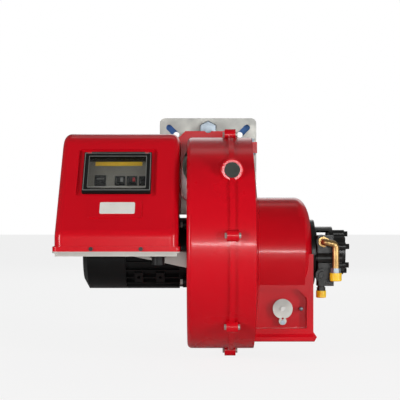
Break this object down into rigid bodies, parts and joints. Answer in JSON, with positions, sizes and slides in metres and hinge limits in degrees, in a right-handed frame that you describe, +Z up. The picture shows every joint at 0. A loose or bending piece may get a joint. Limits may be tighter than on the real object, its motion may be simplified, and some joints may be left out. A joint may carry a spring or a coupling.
{
  "type": "industrial burner",
  "caption": "Pressure-jet boiler burner with side-on fan scroll, motor, pump, air damper, control box and blast tube on a slotted mounting flange.",
  "frame": {"origin": "centre of the boiler face of the mounting flange, on the combustion head's axis", "axes": "+Y along the blast tube into the boiler, +Z up, +X towards the pump"},
  "size_m": [0.572, 0.6955, 0.498],
  "materials": {
    "red_paint": "gloss",
    "zinc": "satin",
    "gasket": "matt",
    "head_steel": "satin",
    "porcelain": "gloss",
    "shaft_steel": "satin",
    "wheel": "satin",
    "black_rubber": "matt",
    "black_paint": "satin",
    "black_plastic": "satin",
    "red_plastic": "gloss",
    "sight_lens": "gloss",
    "brass": "satin",
    "yellow_plastic": "satin",
    "tray": "satin",
    "panel": "satin",
    "strip": "satin",
    "badge": "satin",
    "pane": "gloss"
  },
  "bodies": {
    "housing": {"neck_casting": "red_paint", "scroll_left_half": "red_paint", "scroll_right_half": "red_paint", "intake_housing": "red_paint", "control_cover": "red_paint", "mounting_plate": "zinc", "flange_studs": "zinc", "flange_nuts": "zinc", "scroll_bolts": "zinc", "clamp_screw": "zinc", "motor_bolts": "zinc", "stop_pin": "zinc", "cover_screws": "zinc", "flange_gasket": "gasket", "blast_tube": "head_steel", "head_spider": "head_steel", "inlet_ring": "wheel", "motor_frame": "black_paint", "motor_shield": "black_paint", "motor_cowl": "black_paint", "pump_lantern": "black_paint", "pump_body": "black_paint", "pump_cover": "black_paint", "pump_bolts": "black_paint", "valve_block": "black_paint", "regulator": "black_paint", "pressure_plug": "black_paint", "cable_gland": "black_plastic", "hour_counter": "black_plastic", "switch_frames": "black_plastic", "control_unit": "black_plastic", "ignition_transformer": "black_plastic", "sight_glass": "sight_lens", "brass_union": "brass", "return_pipe": "brass", "pipe_nut": "brass", "return_cap": "yellow_plastic", "inlet_cap": "yellow_plastic", "base_tray": "tray", "support_bracket": "tray", "panel_plate": "panel", "panel_strip": "strip", "badge": "badge"},
    "rotor": {"fan_wheel": "wheel", "motor_shaft": "shaft_steel", "drive_coupling": "black_rubber", "motor_fan": "black_plastic"},
    "damper": {"damper_flap": "zinc", "damper_spindle": "zinc", "damper_disc": "zinc", "disc_screw": "zinc"},
    "head": {"nozzle_line": "head_steel", "flame_disc": "head_steel", "electrodes": "porcelain"},
    "lid": {"window_lid": "black_plastic", "window_pane": "pane"},
    "left_rocker": {"rocker_left": "black_plastic"},
    "middle_rocker": {"rocker_middle": "red_plastic"},
    "right_rocker": {"rocker_right": "black_plastic"}
  },
  "joints": [
    {"name": "fan_spin", "type": "hinge", "parent": "housing", "child": "rotor", "pos_m": [0, -0.235, -0.181], "axis": [1, 0, 0], "continuous": true},
    {"name": "damper_turn", "type": "hinge", "parent": "housing", "child": "damper", "pos_m": [0.144, -0.235, -0.288], "axis": [0, 1, 0], "range_deg": [0, 90]},
    {"name": "head_adjust", "type": "slide", "parent": "housing", "child": "head", "axis": [0, 1, 0], "range_m": [0, 0.012]},
    {"name": "lid_open", "type": "hinge", "parent": "housing", "child": "lid", "pos_m": [-0.177, -0.33516, 0.0164], "axis": [-1, 0, 0], "range_deg": [0, 95]},
    {"name": "rocker_left_turn", "type": "hinge", "parent": "housing", "child": "left_rocker", "pos_m": [-0.173, -0.36438, -0.05393], "axis": [0, 0.6309, 0.7758], "range_deg": [-16, 0]},
    {"name": "rocker_middle_turn", "type": "hinge", "parent": "housing", "child": "middle_rocker", "pos_m": [-0.1495, -0.36438, -0.05393], "axis": [0, 0.6309, 0.7758], "range_deg": [-16, 0]},
    {"name": "rocker_right_turn", "type": "hinge", "parent": "housing", "child": "right_rocker", "pos_m": [-0.126, -0.36438, -0.05393], "axis": [0, 0.6309, 0.7758], "range_deg": [-16, 0]}
  ]
}
